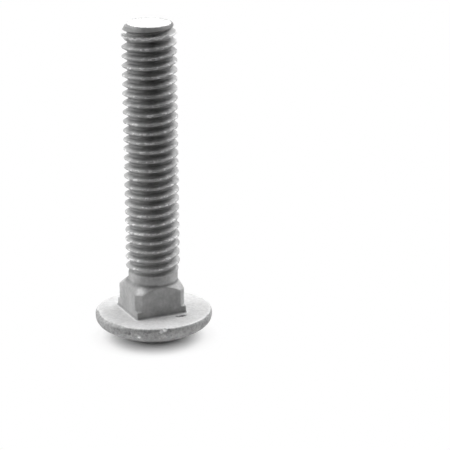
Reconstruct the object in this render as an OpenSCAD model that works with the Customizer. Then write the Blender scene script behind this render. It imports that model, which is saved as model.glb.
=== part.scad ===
// Carriage bolt, 3/8 inch by 2 inches, 16 threads to the inch, forged and rolled from one length of wire.
// Millimetres. The bolt stands on its head: the origin is the centre of the flat spot on the crown of the dome,
// +Z runs up the axis to the point, and the flats of the square neck face along X and Y.

/* [Head] */
// Diameter of the head across its rim
head_d = 20.1; // [18:0.1:24]
// Height of the head, from the flat spot on its crown to the bearing face
head_h = 4.8; // [4.4:0.1:6.5]
// Height of the rim, between the bearing face and the foot of the dome
rim_h = 1.8; // [1.4:0.1:3.2]
// Radius of the rim's edge where the dome begins
dome_edge_r = 1.8; // [0.8:0.1:2]
// Radius of the rim's edge at the bearing face
bearing_edge_r = 0.45; // [0.2:0.05:0.6]
// Diameter of the flat spot on the crown
crown_flat_d = 6.0; // [4:0.1:9]

/* [Neck] */
// Width of the square neck across its flats
neck_w = 9.2; // [8.8:0.05:10.5]
// Depth of the neck, from the bearing face to the plain shank
neck_depth = 5.5; // [4:0.1:7]
// Height of the full square at the neck's foot, where the corners are still sharp
foot_h = 1.2; // [0.6:0.1:2]
// Radius of the sharp corners at the neck's foot
foot_corner_r = 0.4; // [0.1:0.05:0.5]
// Radius of the fillet between the neck's foot and the bearing face
foot_fillet_r = 0.45; // [0.2:0.05:0.8]
// How far each corner above the foot is cut back, along the diagonal
corner_cut = 0.85; // [0.3:0.01:1]
// Height of the taper from the corners up to the plain shank
taper_h = 1.3; // [0.6:0.1:2]

/* [Shank] */
// Length of the bolt, from the bearing face to the point
length = 50.2; // [25:0.1:76]
// Diameter of the plain shank
shank_d = 8.5; // [8:0.05:9.2]
// Length of the plain shank between the neck and the thread
plain_length = 1.1; // [1:0.1:12]

/* [Thread] */
// Major diameter of the thread
thread_d = 9.3; // [8.8:0.05:10.5]
// Pitch of the right-hand thread, a sixteenth of an inch
pitch = 1.5875; // [1.3:0.0125:2]
// Angle between the thread's flanks
flank_angle = 60; // [55:1:60]
// Length over which the thread's depth runs out towards the plain shank
runout_length = 0.9; // [0.8:0.1:3]
// Angle round the axis at which a crest leaves the plain shank
start_angle = 188; // [0:1:359]

/* [Point] */
// Diameter of the flat face at the point
point_d = 7.7; // [6.8:0.1:8.2]
// Angle of the point's chamfer, from the axis
point_angle = 45; // [30:1:60]

/* [Hidden] */

// Heights along the axis
bearing_z = head_h;
dome_foot_z = bearing_z - rim_h;
neck_z = bearing_z + neck_depth;
thread_z = neck_z + plain_length;
// Depth of the fillet's foot below the bearing face, inside the head
fillet_root_h = 0.3;
tip_z = bearing_z + length;

// The dome is part of a sphere that passes through the edge of the flat spot and the foot of the rim
head_r = head_d / 2;
flat_r = crown_flat_d / 2;
dome_centre_z = (pow(head_r, 2) + pow(dome_foot_z, 2) - pow(flat_r, 2)) / (2 * dome_foot_z);
dome_r = norm([flat_r, dome_centre_z]);

// Centre of the edge that rolls from the rim into the dome, touching both
edge_x = head_r - dome_edge_r;
edge_z = dome_centre_z - sqrt(pow(dome_r - dome_edge_r, 2) - pow(edge_x, 2));
// Inner side of the rim in the head's section
rim_x = edge_x - dome_edge_r;

// Radius to the cut-back corners of the neck
corner_r = neck_w / sqrt(2) - corner_cut;

// Basic form of the rolled thread: crest an eighth of the pitch wide, root rounded to its full depth
crest_share = 1 / 8;
thread_depth = 0.595 * pitch;
flank_share = thread_depth * tan(flank_angle / 2) / pitch;
root_share = 1 - crest_share - 2 * flank_share;
root_round = 0.05;
crest_r = thread_d / 2;
root_r = crest_r - thread_depth;

// The thread is rolled out of the shank, so its crests stand proud of it and its roots lie below its surface
shank_r = shank_d / 2;

// Points of one pitch of the thread's profile: share of the pitch above the crest's middle, and radius
PROFILE = [
    [-crest_share / 2, crest_r],
    [crest_share / 2, crest_r],
    [crest_share / 2 + flank_share, root_r + root_round],
    [0.5, root_r],
    [0.5 + root_share / 2, root_r + root_round],
];
PROFILE_POINTS = len(PROFILE);
SIDES = 32;

// The thread starts to deepen a flank's height above the shank, so that no flank cuts into the shank's end
deepen_z = thread_z + flank_share * pitch;

// The thread's solid reaches down inside the plain shank, just under its surface
thread_root_h = 0.6;
thread_skin = 0.03;
thread_low = thread_z - thread_root_h;
// Least height that a point on the thread keeps from the flat ends of its solid
end_gap = 0.02;
start_turns = ceil(thread_root_h / pitch) + 1;
thread_start = thread_z - start_turns * pitch;
ROWS = PROFILE_POINTS * (ceil((tip_z - thread_start) / pitch) + 2);

$fn = 96;

// Square of width w whose corners have radius r
module rounded_square(w, r) {
    square([w, w - 2 * r], center = true);
    square([w - 2 * r, w], center = true);
    for (x = [-1, 1], y = [-1, 1])
        translate([x * (w / 2 - r), y * (w / 2 - r)]) circle(r);
}

// Half section of the head: dome, rolled edge, rim and bearing face
module head_section() {
    difference() {
        intersection() {
            translate([0, dome_centre_z]) circle(dome_r);
            square([edge_x, bearing_z]);
        }
        dome_corner();
    }
    translate([rim_x, edge_z]) square([head_r - rim_x, bearing_z - bearing_edge_r - edge_z]);
    translate([rim_x, edge_z]) square([head_r - bearing_edge_r - rim_x, bearing_z - edge_z]);
    translate([head_r - bearing_edge_r, bearing_z - bearing_edge_r]) circle(bearing_edge_r);
    intersection() {
        translate([edge_x, edge_z]) circle(dome_edge_r);
        square([head_r, edge_z]);
    }
}

// The part of the dome beyond the line on which the rolled edge touches it
module dome_corner() {
    outward = [edge_x, edge_z - dome_centre_z] / (dome_r - dome_edge_r);
    reach = 2 * dome_edge_r;
    translate([edge_x, edge_z])
        polygon([[0, 0], outward * reach, [reach, outward[1] * reach], [reach, 0]]);
}

module head() {
    rotate_extrude() head_section();
}

// Section of the fillet, out to a concave arc between the neck, at x = face, and the bearing face, at y = 0
module fillet_section(face) {
    polygon([
        [0, -fillet_root_h],
        [face + foot_fillet_r, -fillet_root_h],
        for (a = [270 : -15 : 180]) [face, 0] + foot_fillet_r * [1 + cos(a), 1 + sin(a)],
        [0, foot_fillet_r],
    ]);
}

// Fillet along the four sides of the neck's foot and round its corners
module foot_fillet() {
    side = neck_w - 2 * foot_corner_r;
    for (turn = [0 : 90 : 270])
        rotate([0, 0, turn]) {
            translate([0, side / 2, 0])
                rotate([90, 0, 0]) linear_extrude(side) fillet_section(neck_w / 2);
            translate([side / 2, side / 2, 0])
                rotate_extrude(angle = 90) fillet_section(foot_corner_r);
        }
}

// Square neck: full corners at the foot, cut-back corners above, and a taper up to the shank
module neck() {
    translate([0, 0, bearing_z]) {
        foot_fillet();
        linear_extrude(foot_h) rounded_square(neck_w, foot_corner_r);
        intersection() {
            translate([-neck_w / 2, -neck_w / 2, 0]) cube([neck_w, neck_w, neck_depth]);
            union() {
                cylinder(r = corner_r, h = neck_depth - taper_h);
                translate([0, 0, neck_depth - taper_h])
                    cylinder(r1 = corner_r, r2 = shank_r, h = taper_h);
            }
        }
    }
}

module shank() {
    translate([0, 0, bearing_z]) cylinder(r = shank_r, h = neck_depth + plain_length);
}

// Height of profile point j in column i of the thread, counted from its first crest
function row_z(i, j) =
    thread_start + pitch * (i / SIDES + floor(j / PROFILE_POINTS) + PROFILE[j % PROFILE_POINTS][0]);

// Share of the thread's full depth at height z: nothing at the plain shank, all of it past the runout
function depth_share(z) =
    let (t = min(1, max(0, (z - deepen_z) / runout_length)))
    t * t * (3 - 2 * t);

// Radius of profile point j at height z, within the runout and the point's chamfer
function row_r(j, z) =
    let (full = PROFILE[j % PROFILE_POINTS][1])
    let (rolled = shank_r - thread_skin + (full - shank_r + thread_skin) * depth_share(z))
    min(rolled, point_d / 2 + (tip_z - z) * tan(point_angle));

// Rows of column i that lie between the two ends of the thread's solid
function rows_in(i) = [
    for (j = [0 : ROWS - 1])
        if (row_z(i, j) > thread_low + end_gap && row_z(i, j) < tip_z - end_gap) j
];

// One turn of columns, a flat ring at each end, and a skin of triangles between neighbouring columns.
// The thread climbs a pitch in a turn, so the last column meets the first one a whole profile further up.
module thread() {
    columns = [for (i = [0 : SIDES]) rows_in(i)];
    low_ring = SIDES * ROWS;
    high_ring = low_ring + SIDES;
    spots = [
        for (i = [0 : SIDES - 1], j = [0 : ROWS - 1])
            let (a = 360 * i / SIDES, z = row_z(i, j), r = max(0, row_r(j, z)))
            [r * cos(a), r * sin(a), z],
        for (i = [0 : SIDES - 1])
            let (a = 360 * i / SIDES, r = shank_r - thread_skin)
            [r * cos(a), r * sin(a), thread_low],
        for (i = [0 : SIDES - 1])
            let (a = 360 * i / SIDES, r = point_d / 2)
            [r * cos(a), r * sin(a), tip_z],
    ];
    function spot(i, j) = i < SIDES ? i * ROWS + j : j + PROFILE_POINTS;
    function low(i) = low_ring + i % SIDES;
    function high(i) = high_ring + i % SIDES;
    skin = [
        for (i = [0 : SIDES - 1])
            let (here = columns[i], next = columns[i + 1])
            let (first = here[0], last = here[len(here) - 1])
            let (next_first = next[0], next_last = next[len(next) - 1])
            each [
                [low(i), spot(i, first), spot(i + 1, next_first)],
                [low(i), spot(i + 1, next_first), low(i + 1)],
                for (j = [next_first : 1 : first - 1])
                    [spot(i, first), spot(i + 1, j + 1), spot(i + 1, j)],
                for (j = [first : 1 : next_last - 1])
                    each [
                        [spot(i, j), spot(i, j + 1), spot(i + 1, j + 1)],
                        [spot(i, j), spot(i + 1, j + 1), spot(i + 1, j)],
                    ],
                for (j = [next_last : 1 : last - 1])
                    [spot(i, j), spot(i, j + 1), spot(i + 1, next_last)],
                [spot(i, last), high(i), spot(i + 1, next_last)],
                [high(i), high(i + 1), spot(i + 1, next_last)],
            ]
    ];
    foot_face = [for (i = [0 : SIDES - 1]) low(i)];
    point_face = [for (i = [SIDES - 1 : -1 : 0]) high(i)];
    rotate([0, 0, start_angle])
        polyhedron(points = spots, faces = concat(skin, [foot_face, point_face]));
}

module carriage_bolt() {
    color("darkgray") {
        head();
        neck();
        shank();
        thread();
    }
}

carriage_bolt();
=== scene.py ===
"""A hot-dip galvanised carriage bolt, 3/8 inch by 2 inches, standing on the crown of its head.

Metres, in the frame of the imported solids: the origin is the flat spot of the crown, and +Z runs up the bolt's axis.
"""
import math

import bpy
from mathutils import Matrix, Vector


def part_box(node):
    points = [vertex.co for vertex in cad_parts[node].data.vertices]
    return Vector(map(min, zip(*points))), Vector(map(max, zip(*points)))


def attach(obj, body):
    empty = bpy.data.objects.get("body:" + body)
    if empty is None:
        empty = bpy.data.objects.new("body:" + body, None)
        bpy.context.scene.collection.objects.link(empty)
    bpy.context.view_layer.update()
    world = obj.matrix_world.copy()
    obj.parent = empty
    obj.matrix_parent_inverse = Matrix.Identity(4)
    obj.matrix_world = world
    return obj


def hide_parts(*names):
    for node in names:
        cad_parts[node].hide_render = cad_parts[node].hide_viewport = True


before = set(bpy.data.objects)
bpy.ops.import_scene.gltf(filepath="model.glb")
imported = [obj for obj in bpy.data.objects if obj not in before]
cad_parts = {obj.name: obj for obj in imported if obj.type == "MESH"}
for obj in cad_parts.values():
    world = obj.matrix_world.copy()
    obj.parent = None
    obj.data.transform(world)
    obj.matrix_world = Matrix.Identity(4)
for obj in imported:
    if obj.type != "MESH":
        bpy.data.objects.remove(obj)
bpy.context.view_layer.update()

NODE = "carriage_bolt"
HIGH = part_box(NODE)[1]

MM = 0.001
MERGE = 0.001 * MM
OVERLAP = MM  # how deep a part reaches into the one that carries it

# Head, from the flat spot of the crown up to the bearing face
HEAD_R = HIGH.x
BEARING_Z = 4.8 * MM
RIM_H = 1.8 * MM
DOME_EDGE_R = 1.8 * MM
BEARING_EDGE_R = 0.6 * MM
FLAT_R = 3.0 * MM

# Square neck, forged a little off the axis, with a hollow fillet round its foot
NECK_W = 9.2 * MM
NECK_DEPTH = 5.5 * MM
FOOT_H = 1.3 * MM
FOOT_CORNER_R = 0.4 * MM
FOOT_FILLET = 0.35 * MM
FILLET_BEVEL = 0.98 * FOOT_FILLET
FILLET_PROFILE = 0.08
CORNER_CUT = 0.75 * MM
TAPER_H = 1.3 * MM
NECK_SHIFT = Vector((-0.26, 0.19, 0.0)) * MM
NECK_Z = BEARING_Z + NECK_DEPTH
CORNER_R = NECK_W / math.sqrt(2) - CORNER_CUT

# Rolled thread, right-handed, sixteen to the inch. Angles are in degrees
TIP_Z = HIGH.z - 0.03 * MM  # leaves room for the zinc's grain
PITCH = 1.5875 * MM
CREST_R = 4.65 * MM
THREAD_DEPTH = 0.595 * PITCH
CREST_FLAT = PITCH / 8
CREST_EDGE_R = 0.07 * MM
FLANK = 30
ROOT_R = CREST_R - THREAD_DEPTH
SHANK_R = 4.25 * MM
PLAIN_LENGTH = 1.4 * MM
THREAD_Z = NECK_Z + PLAIN_LENGTH
RUNOUT = 1.0 * MM
RUNOUT_R = SHANK_R - 0.01 * MM  # just inside the plain shank
START_ANGLE = 256
EXTRA_TURNS = 2  # below the thread, where the runout makes them plain
THREAD_FOOT_Z = BEARING_Z + 4.0 * MM

# Point: a short wall above a chamfer, and an end face with a broken edge
POINT_R = 4.0 * MM
POINT_FOOT_R = 4.32 * MM
POINT_WALL = 0.95 * MM
CHAMFER = 35
END_EDGE_W, END_EDGE_H = 0.12 * MM, 0.1 * MM

# Marks of handling, in millimetres: place, way the metal was pushed, and how far round that reaches
HEAD_MARKS = [
    ((2.33, -5.3, 4.8), (0.0, 0.0, -0.22), 0.45),
    ((2.94, -5.33, 4.8), (0.0, 0.0, -0.3), 0.50),
    ((3.53, -5.28, 4.8), (0.0, 0.0, -0.22), 0.45),
    ((-2.18, -9.75, 4.74), (0.05, 0.22, -0.12), 0.50),
    ((-2.58, -9.67, 4.35), (0.04, 0.16, 0), 0.40),
    ((-3.09, -9.52, 3.95), (0.04, 0.14, 0), 0.40),
    ((-3.6, -9.34, 3.55), (0.04, 0.12, 0), 0.40),
    ((-7.52, -6.59, 3.8), (0.19, 0.17, 0), 0.50),
    ((-6.06, -7.93, 3.13), (-0.09, -0.1, 0), 0.40),
    ((7.2, -6.79, 4.72), (-0.08, 0.08, -0.1), 0.60),
    ((3.8, 9.17, 4.7), (-0.04, -0.12, -0.1), 0.60),
    ((1.68, 2.68, 0.03), (0.0, 0.0, 0.1), 0.70),
    ((-4.15, 1.12, 0.4), (0.02, 0.0, 0.12), 0.80),
    ((3.08, -4.07, 0.6), (0, 0.02, 0.1), 0.60),
]
THREAD_MARKS = [
    ((-1.77, -4.24, 40.15), (0.04, 0.1, -0.3), 0.45),
    ((-3.84, -2.52, 38.72), (0.08, 0.05, -0.28), 0.35),
    ((0.4, -4.59, 50.05), (0, 0.1, -0.22), 0.35),
    ((1.17, -4.45, 24.7), (-0.02, 0.1, -0.26), 0.35),
    ((-3.43, -3.06, 22.65), (0.08, 0.06, -0.24), 0.35),
    ((-2.25, -4.01, 22.8), (0.06, 0.09, -0.26), 0.35),
    ((-2.02, -4.13, 21.1), (0.05, 0.09, -0.24), 0.35),
    ((4.34, 1.39, 33.0), (-0.15, -0.05, 0), 0.60),
    ((-1.1, 4.46, 45.2), (0.04, -0.16, 0), 0.60),
    ((1.92, 4.19, 18.6), (-0.05, -0.12, 0), 0.50),
]

# Rows of such marks: angles from +X, and the lift or fall and the reach of each, in millimetres
WORN_ANGLES = range(160, 218, 6)
WORN_R, WORN_Z = 9.75, 4.72
WORN_FALL, WORN_REACH = -0.13, 1.2
FIN_ANGLES = range(140, 300, 10)
FIN_LIFT, FIN_REACH = 0.48, 0.7

# Relief of the coat: the size of its lumps and of its grain, and half the height between their highs and lows
LUMP_SIZE, LUMP_DEPTH = 1.6 * MM, 0.03 * MM
GRAIN_SIZE, HEAD_GRAIN, THREAD_GRAIN = 0.5 * MM, 0.025 * MM, 0.045 * MM
LEVEL_VALUE = 0.8  # the noise value that leaves the surface where it is, high enough that most of it sinks
BUMP_HEIGHT = 0.045 * MM  # relief too fine for the mesh, from the same grain
SMOOTH_ANGLE = 40

# Noises of the coat: size in millimetres, detail and roughness. The grain is drawn a little coarse, so that it shows
COAT_NOISES = {
    "mottle": (2.2, 3.0, 0.6),
    "grain": (0.5, 3.0, 0.65),
    # Noise that places the painted glints on the crests
    "glint_noise": (1.1, 2.0, 0.7),
}
# Greys of the coat between two values of a noise
COAT_TINTS = {
    "mottle": ((0.32, "#B8B8B8"), (0.68, "#D4D4D4")),
    "grain": ((0.36, "#B0B0B0"), (0.6, "#E2E2E2")),
}
# What changes with height, radius or a noise: from and to which value of it, and the share at each
COAT_RAMPS = {
    "coarse": ("height", BEARING_Z - 0.1 * MM, BEARING_Z + 0.1 * MM, 1.0, 0.35),
    "threaded": ("height", THREAD_Z, THREAD_Z + 0.4 * MM, 0.0, 1.0),
    # Painted shade: the wall of the point is darker
    "point_wall_shade": ("height", TIP_Z - 1.15 * MM, TIP_Z - 0.95 * MM, 1.0, 0.8),
    "top": ("height", TIP_Z - 0.12 * MM, TIP_Z - 0.04 * MM, 0.0, 1.0),
    # Painted shade in the thread's roots, and a little painted highlight on its crests
    "relief_shade": ("radius", ROOT_R, CREST_R, -0.18, 0.1),
    "crest": ("radius", CREST_R - 0.35 * MM, CREST_R - 0.15 * MM, 0.0, 1.0),
    # Painted highlight on the end face, with painted shade in a ring at its edge
    "end_face": ("ragged_radius", POINT_R + 0.05 * MM, POINT_R + 0.25 * MM, 1.0, 0.0),
    # Painted glints on stretches of the crests
    "crest_glints": ("glint_noise", 0.52, 0.66, 0.0, 0.8),
    "roughness": ("grain", 0.3, 0.7, 0.5, 0.66),
}
# What changes round a height: the height, how far off it the change begins and ends, and the share at each
COAT_BANDS = {
    # Painted shade in the crease between shank and neck, and along the neck's foot
    "neck_crease_shade": (NECK_Z - 0.05 * MM, 0.05 * MM, 0.4 * MM, 0.62, 1.0),
    "neck_foot_shade": (BEARING_Z + 0.2 * MM, 0.1 * MM, 0.3 * MM, 0.76, 1.0),
    # Painted highlight on the last turn's crest
    "last_turn_highlight": (TIP_Z - 2.2 * MM, 0.8 * MM, 1.0 * MM, 0.7, 0.0),
    # Painted highlight on the bearing face
    "bearing_face_highlight": (BEARING_Z - 0.06 * MM, 0.08 * MM, 0.14 * MM, 0.6, 0.0),
}
# The darker of the two greys is painted shade along the end face's edge, and painted highlights go towards white
FINE_GREY, EDGE_SHADE_GREY, WHITE = "#EAEAEA", "#6C6C6C", "#FFFFFF"
PALE_GRAIN = 0.35  # share of the grain that shows where highlights are painted
RAGGED = 0.8  # how far the grain moves an edge: in millimetres on the end face, and as a share of its reach at a spot

# Spots of painted light: white ones are painted highlights on nicks, a speck, the neck's shoulder and the thread's
# crests, dark ones painted shade in a nick of the bearing face and a pit in the rim. Place and reach in millimetres,
# and colour
PAINTED_SPOTS = [
    ((2.13, -5.33, 4.72), 0.50, "#5C5C5C"),
    ((2.84, -5.34, 4.68), 0.60, "#404040"),
    ((3.43, -5.28, 4.7), 0.50, "#4C4C4C"),
    ((-2.08, -9.7, 4.62), 0.60, "#FFFFFF"),
    ((-2.68, -9.61, 4.25), 0.45, "#F0F0F0"),
    ((-7.31, -6.83, 3.7), 0.45, "#606060"),
    ((-6.06, -7.93, 3.13), 0.45, "#FFFFFF"),
    ((-3.95, -3.58, 9.8), 1.30, "#DCDCDC"),
    ((-2.02, -4.15, 40.15), 0.50, "#FFFFFF"),
    ((-1.51, -4.37, 40.15), 0.50, "#FFFFFF"),
    ((-3.84, -2.52, 38.72), 0.42, "#FFFFFF"),
    ((0.4, -4.59, 50.05), 0.44, "#FFFFFF"),
    ((1.17, -4.45, 24.7), 0.30, "#FFFFFF"),
    ((-2.25, -4.01, 22.8), 0.30, "#FFFFFF"),
]
SPOT_FULL, SPOT_GONE = 0.6, 1.4  # the shares of its reach between which a spot fades

# Fineness of the meshes
TURN_STEPS = 160
DOME_STEPS = 24
EDGE_STEPS = 6
THREAD_STEPS = 96
THREAD_ARC_STEPS = 3
FLANK_STEPS = 4
END_RINGS = 16
VOXEL = 0.12 * MM

# Camera: its place, its turn from +Y towards +X, its tilt below the horizon and its roll
CAMERA_PLACE = Vector((-124.0, -300.1, 126.5)) * MM
CAMERA_PAN = 24.63
CAMERA_TILT = 18.2
CAMERA_ROLL = -0.33
CAMERA_LENS = 160.8
FRONT = (CAMERA_PLACE * Vector((1, 1, 0))).normalized()  # the way along the floor that the camera stands

# Lamps a metre from the bolt: name, azimuth counter-clockwise from the camera's side, elevation, width, height, watts
LAMPS = [
    ("softbox_back_left", 225, 46, 0.64, 0.9, 4.6),
    ("softbox_back_right", 135, 44, 0.64, 0.95, 5.9),
    ("softbox_left", 270, 58, 0.5, 0.5, 3.7),
    ("softbox_right", 100, 58, 0.5, 0.5, 3.4),
    ("strip_back", 180, 10, 1.2, 0.4, 0.4),
    ("strip_left", 266, 10, 0.7, 0.4, 3.1),
    ("strip_front_left", 308, 20, 0.6, 0.4, 0.3),
    ("strip_right", 106, 10, 0.7, 0.4, 1.1),
]
LAMP_TARGET = Vector((0, 0, 30 * MM))
ROOM_LIGHT = 0.02

# Paper floor: its greys, where the dark card in front begins and is full, and where the paper turns pure white
FLOOR_SIZE = 6
PAPER_WHITE, CARD_GREY = "#FAFAFA", "#404040"
CARD_FROM, CARD_TO = 14 * MM, 60 * MM
WHITE_FROM, WHITE_TO = 4 * MM, 12 * MM
# White backdrop: how squarely a ray leaves to the back where it begins and is full
BACKDROP_FROM, BACKDROP_TO = 0.55, 0.8

# Sockets of a Mix node when it mixes colours
MIX_A, MIX_B, MIXED = 6, 7, 2


def select_only(piece):
    """Leaves this piece alone selected and active."""
    bpy.ops.object.select_all(action="DESELECT")
    piece.select_set(True)
    bpy.context.view_layer.objects.active = piece


def edit(piece, mode="VERT"):
    """Starts editing a piece, with all of it selected."""
    select_only(piece)
    bpy.ops.object.mode_set(mode="EDIT")
    bpy.ops.mesh.select_mode(type=mode)
    bpy.ops.mesh.select_all(action="SELECT")


def done():
    """Ends editing."""
    bpy.ops.object.mode_set(mode="OBJECT")


def edit_edges(piece, wanted):
    """Starts editing a piece, with those edges selected whose two ends pass the test."""
    edit(piece, "EDGE")
    bpy.ops.mesh.select_all(action="DESELECT")
    done()
    spots = [v.co.copy() for v in piece.data.vertices]
    for edge in piece.data.edges:
        edge.select = wanted(*(spots[i] for i in edge.vertices))
    bpy.ops.object.mode_set(mode="EDIT")


def upright(a, b):
    """True for two ends of an edge that runs up the axis."""
    return abs(a.z - b.z) > MM


def above_face(a, b):
    """True for two ends of an edge that lies above the bearing face."""
    return min(a.z, b.z) > BEARING_Z


def modify(piece, kind, **settings):
    """Gives a piece a modifier with these settings and applies it."""
    modifier = piece.modifiers.new(kind.lower(), kind)
    for name, value in settings.items():
        setattr(modifier, name, value)
    select_only(piece)
    bpy.ops.object.modifier_apply(modifier=modifier.name)


def keep_inside(piece, mould):
    """Keeps what a piece shares with a mould, and removes the mould."""
    modify(piece, "BOOLEAN", object=mould, operation="INTERSECT", solver="EXACT")
    bpy.data.objects.remove(mould)


def drawn(name, points):
    """A new mesh that is one open line through these points, extruded from a single vertex."""
    bpy.ops.object.select_all(action="DESELECT")
    bpy.ops.mesh.primitive_plane_add(size=MM)
    piece = bpy.context.object
    piece.name = piece.data.name = name
    edit(piece)
    bpy.ops.mesh.merge(type="CENTER")
    bpy.ops.transform.translate(value=Vector(points[0]))
    for here, there in zip(points, points[1:]):
        step = Vector(there) - Vector(here)
        bpy.ops.mesh.extrude_vertices_move(TRANSFORM_OT_translate={"value": step})
    done()
    return piece


def closed(piece):
    """Merges doubles and turns the faces outwards."""
    edit(piece)
    bpy.ops.mesh.remove_doubles(threshold=MERGE)
    bpy.ops.mesh.normals_make_consistent(inside=False)
    done()


def turned(name, section):
    """A closed solid turned round the axis from (radius, height) points that start and end on it."""
    piece = drawn(name, [(r, 0, z) for r, z in section])
    edit(piece)
    bpy.ops.mesh.spin(steps=TURN_STEPS, angle=2 * math.pi, center=(0, 0, 0), axis=(0, 0, 1))
    done()
    closed(piece)
    return piece


def block(name, width, low, high):
    """A square block on the axis, between two heights."""
    bpy.ops.object.select_all(action="DESELECT")
    bpy.ops.mesh.primitive_cube_add(size=1, location=(0, 0, (low + high) / 2))
    piece = bpy.context.object
    piece.name = piece.data.name = name
    piece.scale = (width, width, high - low)
    bpy.ops.object.transform_apply(location=True, rotation=True, scale=True)
    return piece


def arc(centre, radius, first, last, steps):
    """(radius, height) points on an arc, between two angles in degrees from the horizontal."""
    angles = [math.radians(first + (last - first) * i / steps) for i in range(steps + 1)]
    return [(centre[0] + radius * math.cos(a), centre[1] + radius * math.sin(a)) for a in angles]


def head_section():
    """Half section of the head: flat spot, dome, rolled edge, rim, rounded edge and bearing face."""
    dome_foot_z = BEARING_Z - RIM_H
    dome_z = (HEAD_R ** 2 + dome_foot_z ** 2 - FLAT_R ** 2) / (2 * dome_foot_z)
    dome_r = math.hypot(FLAT_R, dome_z)
    edge_x = HEAD_R - DOME_EDGE_R
    edge_z = dome_z - math.sqrt((dome_r - DOME_EDGE_R) ** 2 - edge_x ** 2)
    flat_angle = math.degrees(math.atan2(-dome_z, FLAT_R))
    edge_angle = math.degrees(math.atan2(edge_z - dome_z, edge_x))
    dome = arc((0, dome_z), dome_r, flat_angle, edge_angle, DOME_STEPS)
    dome_edge = arc((edge_x, edge_z), DOME_EDGE_R, edge_angle, 0, EDGE_STEPS)
    bearing_centre = (HEAD_R - BEARING_EDGE_R, BEARING_Z - BEARING_EDGE_R)
    bearing_edge = arc(bearing_centre, BEARING_EDGE_R, 0, 90, EDGE_STEPS)
    return [(0, 0), *dome, *dome_edge[1:], *bearing_edge, (0, BEARING_Z)]


def square_neck():
    """Square neck with its cut-back corners and its taper, its sharper foot and the fillet, as overlapping blocks."""
    upper = block("neck", NECK_W, BEARING_Z - OVERLAP, NECK_Z)
    low = BEARING_Z - 2 * OVERLAP
    keep_inside(upper, turned("taper", [
        (0, low), (CORNER_R, low), (CORNER_R, NECK_Z - TAPER_H), (SHANK_R, NECK_Z), (0, NECK_Z),
    ]))
    foot = block("foot", NECK_W, BEARING_Z - OVERLAP, BEARING_Z + FOOT_H)
    edit_edges(foot, upright)
    bpy.ops.mesh.bevel(offset=FOOT_CORNER_R, segments=4)
    done()
    fillet = block("fillet", NECK_W + 2 * FOOT_FILLET, BEARING_Z - OVERLAP, BEARING_Z + FOOT_FILLET)
    edit_edges(fillet, upright)
    bpy.ops.mesh.bevel(offset=FOOT_CORNER_R + FOOT_FILLET, segments=6)
    done()
    edit_edges(fillet, above_face)
    bpy.ops.mesh.bevel(offset=FILLET_BEVEL, segments=6, profile=FILLET_PROFILE)
    done()
    for piece in (upper, foot, fillet):
        select_only(piece)
        bpy.ops.transform.translate(value=NECK_SHIFT)
        bpy.ops.object.transform_apply(location=True, rotation=True, scale=True)
    return [upper, foot, fillet]


def forged_head():
    """Head, neck and plain shank: one closed skin over them, its corners softened as under a coat of zinc."""
    head = turned("forged_head", head_section())
    stub_z = NECK_Z - OVERLAP
    stub = turned("stub", [(0, stub_z), (SHANK_R, stub_z), (SHANK_R, THREAD_Z), (0, THREAD_Z)])
    parts = [head, stub, *square_neck()]
    select_only(head)
    for piece in parts:
        piece.select_set(True)
    bpy.ops.object.join()
    modify(head, "REMESH", mode="VOXEL", voxel_size=VOXEL)
    modify(head, "SMOOTH", factor=0.5, iterations=1)
    return head


def thread_section():
    """One pitch of the thread from root to root, as (radius, height from the crest's middle) points."""
    slope = math.tan(math.radians(FLANK))
    root_fillet = ((PITCH - CREST_FLAT) / 2 / slope) - THREAD_DEPTH
    rise = CREST_FLAT / 2 - CREST_EDGE_R * slope
    crest = arc((CREST_R - CREST_EDGE_R, rise), CREST_EDGE_R, 0, 90 - FLANK, THREAD_ARC_STEPS)
    root = arc((ROOT_R + root_fillet, PITCH / 2), root_fillet, 270 - FLANK, 180, THREAD_ARC_STEPS)
    (r0, z0), (r1, z1) = crest[-1], root[0]
    flank = [(r0 + (r1 - r0) * i / FLANK_STEPS, z0 + (z1 - z0) * i / FLANK_STEPS) for i in range(1, FLANK_STEPS)]
    upper = crest + flank + root
    return [(r, -z) for r, z in reversed(upper)] + upper


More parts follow.
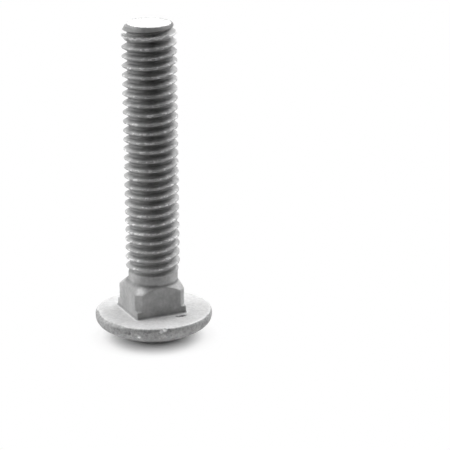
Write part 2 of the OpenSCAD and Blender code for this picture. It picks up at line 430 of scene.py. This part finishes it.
def rolled_thread():
    """The threaded shank: a section screwed up the axis, run out at its foot and chamfered at its point."""
    first_crest = THREAD_Z - START_ANGLE / 360 * PITCH - EXTRA_TURNS * PITCH
    turns = math.ceil((TIP_Z - first_crest) / PITCH) + 1
    piece = drawn("rolled_thread", [(r, 0, z + first_crest) for r, z in thread_section()])
    modify(piece, "SCREW", axis="Z", angle=2 * math.pi, screw_offset=PITCH, iterations=turns,
           steps=THREAD_STEPS, render_steps=THREAD_STEPS, use_merge_vertices=False)
    # Both ends are closed, each with a fan of triangles
    edit(piece, "FACE")
    bpy.ops.mesh.remove_doubles(threshold=MERGE)
    bpy.ops.mesh.fill_holes(sides=0)
    bpy.ops.mesh.select_face_by_sides(number=4, type="GREATER", extend=False)
    bpy.ops.mesh.poke()
    done()
    closed(piece)
    # The runout: below the thread all but the middle of the fans becomes plain shank
    plain = piece.vertex_groups.new(name="plain")
    for vertex in piece.data.vertices:
        t = min(1, max(0, (vertex.co.z - THREAD_Z) / RUNOUT))
        if math.hypot(vertex.co.x, vertex.co.y) > ROOT_R / 2:
            plain.add([vertex.index], 1 - t * t * (3 - 2 * t), "REPLACE")
    modify(piece, "CAST", cast_type="CYLINDER", factor=1, size=RUNOUT_R, use_radius_as_size=False,
           use_z=False, vertex_group="plain")
    piece.vertex_groups.clear()
    # The point, its end face in rings fine enough to take the coat's relief
    wide, shoulder = CREST_R + MM, TIP_Z - POINT_WALL
    flare = (wide - POINT_FOOT_R) * math.tan(math.radians(CHAMFER))
    end_face = [((POINT_R - END_EDGE_W) * ring / END_RINGS, TIP_Z) for ring in range(END_RINGS, -1, -1)]
    keep_inside(piece, turned("point", [
        (0, THREAD_FOOT_Z), (wide, THREAD_FOOT_Z), (wide, shoulder - flare), (POINT_FOOT_R, shoulder),
        (POINT_R, TIP_Z - END_EDGE_H), *end_face,
    ]))
    return piece


def at_angle(radius, degrees, height):
    """The point at this radius, this angle from +X and this height."""
    way = math.radians(degrees)
    return radius * math.cos(way), radius * math.sin(way), height


def worn_rim():
    """Marks that wear down a stretch of the rim's upper edge."""
    return [(at_angle(WORN_R, degrees, WORN_Z), (0, 0, WORN_FALL), WORN_REACH) for degrees in WORN_ANGLES]


def bent_fin():
    """Marks that bend the last whole turn of the crest up towards the point, which leaves it thin."""
    marks = []
    for degrees in FIN_ANGLES:
        below = (THREAD_Z - START_ANGLE / 360 * PITCH + PITCH * degrees / 360 - TIP_Z) % PITCH - PITCH
        crest_z = TIP_Z + below - (PITCH if below > -POINT_WALL else 0)
        marks.append((at_angle(CREST_R / MM, degrees, crest_z / MM), (0, 0, FIN_LIFT), FIN_REACH))
    return marks


def dented(piece, marks):
    """Pushes the skin of a piece at each mark, fading out round it."""
    for spot, push, reach in marks:
        spot = Vector(spot) * MM
        nearest = min(piece.data.vertices, key=lambda v: (v.co - spot).length_squared).index
        edit(piece)
        bpy.ops.mesh.select_all(action="DESELECT")
        done()
        piece.data.vertices[nearest].select = True
        bpy.ops.object.mode_set(mode="EDIT")
        bpy.ops.transform.translate(value=Vector(push) * MM, use_proportional_edit=True,
                                    proportional_size=reach * MM, proportional_edit_falloff="SMOOTH")
        done()


def uneven(piece, name, size, depth):
    """Gives the surface soft lumps of this size and depth, mostly sunk into it, so that it stays in the CAD box."""
    lumps = bpy.data.textures.new(name, "CLOUDS")
    lumps.noise_scale = size
    lumps.noise_depth = 2
    modify(piece, "DISPLACE", texture=lumps, strength=2 * depth, mid_level=LEVEL_VALUE)


def linear(hex_colour):
    """Linear RGBA of an sRGB hex colour such as "#9A9A98"."""
    shares = [int(hex_colour[i:i + 2], 16) / 255 for i in (1, 3, 5)]
    return [*(s / 12.92 if s <= 0.04045 else ((s + 0.055) / 1.055) ** 2.4 for s in shares), 1]


def add(tree, kind, feeds=None, **settings):
    """Adds a shader node with these settings; feeds holds a value or another node's output for each input."""
    node = tree.nodes.new("ShaderNode" + kind)
    for name, value in settings.items():
        setattr(node, name, value)
    for key, value in (feeds or {}).items():
        if isinstance(value, bpy.types.NodeSocket):
            tree.links.new(value, node.inputs[key])
        else:
            node.inputs[key].default_value = value
    return node


def fresh_material(name):
    """A new material with an empty node tree, and its output node."""
    material = bpy.data.materials.new(name)
    material.use_nodes = True
    material.node_tree.nodes.clear()
    return material, material.node_tree, add(material.node_tree, "OutputMaterial")


def per_mm(size):
    """Noise scale whose lumps are this many millimetres across."""
    return 1 / (size * MM)


def hot_dip_zinc():
    """Steel dipped in molten zinc and spun: a dull, mottled grey metal. Painted into its colour are shade in the
    thread's roots, the neck's creases and on the point's wall, and highlights on the crests, the bearing face and the
    end face, with spots of painted highlight and shade.
    """
    material, tree, output = fresh_material("hot_dip_zinc")
    place = add(tree, "TexCoord").outputs["Object"]
    height = add(tree, "SeparateXYZ", {0: place}).outputs["Z"]
    level = add(tree, "VectorMath", {0: place, 1: (1, 1, 0)}, operation="MULTIPLY").outputs["Vector"]
    radius = add(tree, "VectorMath", {0: level}, operation="LENGTH").outputs["Value"]

    # All that the coat follows: height, radius, noises, and the distance from a few heights
    follows = {"height": height, "radius": radius}
    for name, (size, detail, roughness) in COAT_NOISES.items():
        feeds = {"Vector": place, "Scale": per_mm(size), "Detail": detail, "Roughness": roughness}
        follows[name] = add(tree, "TexNoise", feeds).outputs["Fac"]
    ragged = {0: follows["grain"], 1: RAGGED * MM, 2: radius}
    follows["ragged_radius"] = add(tree, "Math", ragged, operation="MULTIPLY_ADD").outputs[0]
    ramps = dict(COAT_RAMPS)
    for name, (band_z, *fade) in COAT_BANDS.items():
        above = add(tree, "Math", {0: height, 1: band_z}, operation="SUBTRACT").outputs[0]
        follows[name] = add(tree, "Math", {0: above}, operation="ABSOLUTE").outputs[0]
        ramps[name] = (name, *fade)
    share = {}
    for name, (source, start, stop, first, last) in ramps.items():
        feeds = {"Value": follows[source], "From Min": start, "From Max": stop, "To Min": first, "To Max": last}
        share[name] = add(tree, "MapRange", feeds).outputs["Result"]
    tint = {}
    for name, stops in COAT_TINTS.items():
        greys = add(tree, "ValToRGB", {"Fac": follows[name]})
        for element, (position, grey) in zip(greys.color_ramp.elements, stops):
            element.position, element.color = position, linear(grey)
        tint[name] = greys.outputs["Color"]

    # The coat is coarse on the rim and fine from the bearing face up
    grain = add(tree, "Mix", {0: share["coarse"], MIX_A: linear(FINE_GREY), MIX_B: tint["grain"]},
                data_type="RGBA").outputs[MIXED]
    coat = add(tree, "Mix", {0: 1.0, MIX_A: tint["mottle"], MIX_B: grain},
               data_type="RGBA", blend_type="MULTIPLY").outputs[MIXED]
    # Painted shade: the thread's roots are darker than its crests, which get a little painted highlight, and the neck's
    # crease and foot and the wall of the point are darker too
    crease_shade = share["point_wall_shade"]
    for name in ("neck_foot_shade", "neck_crease_shade"):
        crease_shade = add(tree, "Math", {0: share[name], 1: crease_shade}, operation="MULTIPLY").outputs[0]
    value = add(tree, "Math", {0: share["threaded"], 1: share["relief_shade"], 2: crease_shade}, operation="MULTIPLY_ADD")
    coat = add(tree, "HueSaturation", {"Color": coat, "Value": value.outputs[0]}).outputs["Color"]
    # Painted highlight: the end face is bright, inside a ragged ring of painted shade along its edge
    end_face = add(tree, "Math", {0: share["top"], 1: share["end_face"]}, operation="MULTIPLY").outputs[0]
    edge_shade = add(tree, "Math", {0: share["top"], 1: end_face}, operation="SUBTRACT").outputs[0]
    coat = add(tree, "Mix", {0: edge_shade, MIX_A: coat, MIX_B: linear(EDGE_SHADE_GREY)}, data_type="RGBA").outputs[MIXED]
    # Painted highlights too: the bearing face, the last turn's crest, and glints on stretches of the other crests
    fin_highlight = add(tree, "Math", {0: share["crest"], 1: share["last_turn_highlight"]}, operation="MULTIPLY").outputs[0]
    crests = add(tree, "Math", {0: share["crest"], 1: share["threaded"]}, operation="MULTIPLY").outputs[0]
    crest_glints = add(tree, "Math", {0: share["crest_glints"], 1: crests}, operation="MULTIPLY").outputs[0]
    bright = end_face
    for patch in (share["bearing_face_highlight"], fin_highlight, crest_glints):
        bright = add(tree, "Math", {0: bright, 1: patch}, operation="MAXIMUM").outputs[0]
    pale = add(tree, "Mix", {0: PALE_GRAIN, MIX_A: linear(WHITE), MIX_B: grain}, data_type="RGBA").outputs[MIXED]
    colour = add(tree, "Mix", {0: bright, MIX_A: coat, MIX_B: pale}, data_type="RGBA").outputs[MIXED]
    # Spots of painted highlight and painted shade, each fading out round its place
    for spot, reach, shade in PAINTED_SPOTS:
        apart = add(tree, "VectorMath", {0: place, 1: Vector(spot) * MM}, operation="DISTANCE").outputs["Value"]
        ragged = {0: follows["grain"], 1: RAGGED * reach * MM, 2: apart}
        apart = add(tree, "Math", ragged, operation="MULTIPLY_ADD").outputs[0]
        feeds = {"Value": apart, "From Min": SPOT_FULL * reach * MM, "From Max": SPOT_GONE * reach * MM,
                 "To Min": 1.0, "To Max": 0.0}
        near = add(tree, "MapRange", feeds, interpolation_type="SMOOTHSTEP").outputs["Result"]
        colour = add(tree, "Mix", {0: near, MIX_A: colour, MIX_B: linear(shade)}, data_type="RGBA").outputs[MIXED]

    bump = add(tree, "Bump", {"Height": follows["grain"], "Distance": BUMP_HEIGHT, "Strength": share["coarse"]})
    shader = add(tree, "BsdfPrincipled", {"Base Color": colour, "Roughness": share["roughness"],
                                          "Metallic": 0.3, "Normal": bump.outputs["Normal"]})
    tree.links.new(shader.outputs["BSDF"], output.inputs["Surface"])
    return material


def sighted(tree):
    """1 for the rays that see the background as white: from the camera, off a gloss or through glass."""
    path = add(tree, "LightPath").outputs
    seen = path["Is Camera Ray"]
    for kind in ("Is Transmission Ray", "Is Glossy Ray"):
        seen = add(tree, "Math", {0: seen, 1: path[kind]}, operation="MAXIMUM").outputs[0]
    return seen


def seamless_paper():
    """White paper sweep, matt, that goes to pure white away from the bolt. To all but the camera a stretch of it in
    front of the bolt is dark, as if a black card lay there."""
    material, tree, output = fresh_material("seamless_paper")
    place = add(tree, "NewGeometry").outputs["Position"]
    ahead = add(tree, "VectorMath", {0: place, 1: FRONT}, operation="DOT_PRODUCT").outputs["Value"]
    front = add(tree, "MapRange", {"Value": ahead, "From Min": CARD_FROM, "From Max": CARD_TO}).outputs["Result"]
    camera_ray = add(tree, "LightPath").outputs["Is Camera Ray"]
    unseen = add(tree, "Math", {0: 1.0, 1: camera_ray}, operation="SUBTRACT").outputs[0]
    card = add(tree, "Math", {0: front, 1: unseen}, operation="MULTIPLY").outputs[0]
    colour = add(tree, "Mix", {0: card, MIX_A: linear(PAPER_WHITE), MIX_B: linear(CARD_GREY)},
                 data_type="RGBA").outputs[MIXED]
    paper = add(tree, "BsdfDiffuse", {"Color": colour})
    off = add(tree, "VectorMath", {0: place}, operation="LENGTH").outputs["Value"]
    away = add(tree, "MapRange", {"Value": off, "From Min": WHITE_FROM, "From Max": WHITE_TO},
               interpolation_type="SMOOTHSTEP").outputs["Result"]
    open_floor = add(tree, "Math", {0: away, 1: card}, operation="SUBTRACT", use_clamp=True).outputs[0]
    bright = add(tree, "Math", {0: open_floor, 1: sighted(tree)}, operation="MULTIPLY").outputs[0]
    white = add(tree, "Emission", {"Color": linear(WHITE), "Strength": 1.0})
    both = add(tree, "MixShader", {0: bright, 1: paper.outputs[0], 2: white.outputs[0]})
    tree.links.new(both.outputs[0], output.inputs["Surface"])
    return material


def white_surroundings():
    """A world that lights the bolt little. It is white to the camera and, at the back, off a gloss or through glass."""
    world = bpy.data.worlds.new("white_surroundings")
    bpy.context.scene.world = world
    world.use_nodes = True
    tree = world.node_tree
    tree.nodes.clear()
    dim = add(tree, "Background", {"Color": linear(WHITE), "Strength": ROOM_LIGHT})
    white = add(tree, "Background", {"Color": linear(WHITE), "Strength": 1.0})
    way = add(tree, "TexCoord").outputs["Generated"]
    behind = add(tree, "VectorMath", {0: way, 1: -FRONT}, operation="DOT_PRODUCT").outputs["Value"]
    backdrop = add(tree, "MapRange", {"Value": behind, "From Min": BACKDROP_FROM, "From Max": BACKDROP_TO})
    camera_ray = add(tree, "LightPath").outputs["Is Camera Ray"]
    shown = add(tree, "Math", {0: backdrop.outputs["Result"], 1: camera_ray}, operation="MAXIMUM").outputs[0]
    seen = add(tree, "Math", {0: shown, 1: sighted(tree)}, operation="MULTIPLY").outputs[0]
    both = add(tree, "MixShader", {0: seen, 1: dim.outputs[0], 2: white.outputs[0]})
    tree.links.new(both.outputs[0], add(tree, "OutputWorld").inputs["Surface"])


def studio():
    """Paper floor, white surroundings, and soft lamps that stand mostly behind the bolt."""
    bpy.ops.object.select_all(action="DESELECT")
    bpy.ops.mesh.primitive_plane_add(size=FLOOR_SIZE)
    floor = bpy.context.object
    floor.name = "paper_floor"
    floor.data.materials.append(seamless_paper())
    white_surroundings()
    towards_camera = math.atan2(CAMERA_PLACE.y, CAMERA_PLACE.x)
    for name, azimuth, elevation, width, height, watts in LAMPS:
        data = bpy.data.lights.new(name, "AREA")
        data.shape = "RECTANGLE"
        data.size = width
        data.size_y = height
        data.energy = watts
        holder = bpy.data.objects.new(name, data)
        bpy.context.scene.collection.objects.link(holder)
        turn, rise = towards_camera + math.radians(azimuth), math.radians(elevation)
        away = Vector((math.cos(turn) * math.cos(rise), math.sin(turn) * math.cos(rise), math.sin(rise)))
        holder.location = LAMP_TARGET + away
        holder.rotation_euler = away.to_track_quat("Z", "Y").to_euler()


def camera():
    """The camera, where the photograph was taken from."""
    data = bpy.data.cameras.new("camera")
    data.lens = CAMERA_LENS
    data.sensor_width = 36
    data.clip_start = 0.01
    holder = bpy.data.objects.new("camera", data)
    bpy.context.scene.collection.objects.link(holder)
    turn = (Matrix.Rotation(-math.radians(CAMERA_PAN), 4, "Z")
            @ Matrix.Rotation(math.radians(90 - CAMERA_TILT), 4, "X")
            @ Matrix.Rotation(math.radians(CAMERA_ROLL), 4, "Z"))
    holder.matrix_world = Matrix.Translation(CAMERA_PLACE) @ turn
    bpy.context.scene.camera = holder


camera()
studio()
zinc = hot_dip_zinc()
for piece, marks, grain_depth in (
    (forged_head(), HEAD_MARKS + worn_rim(), HEAD_GRAIN),
    (rolled_thread(), THREAD_MARKS + bent_fin(), THREAD_GRAIN),
):
    dented(piece, marks)
    uneven(piece, "zinc_lumps", LUMP_SIZE, LUMP_DEPTH)
    uneven(piece, "zinc_grain", GRAIN_SIZE, grain_depth)
    select_only(piece)
    bpy.ops.object.shade_smooth_by_angle(angle=math.radians(SMOOTH_ANGLE))
    piece.data.materials.clear()
    piece.data.materials.append(zinc)
    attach(piece, "root")
    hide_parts(NODE)

bpy.context.scene.view_settings.view_transform = "Standard"
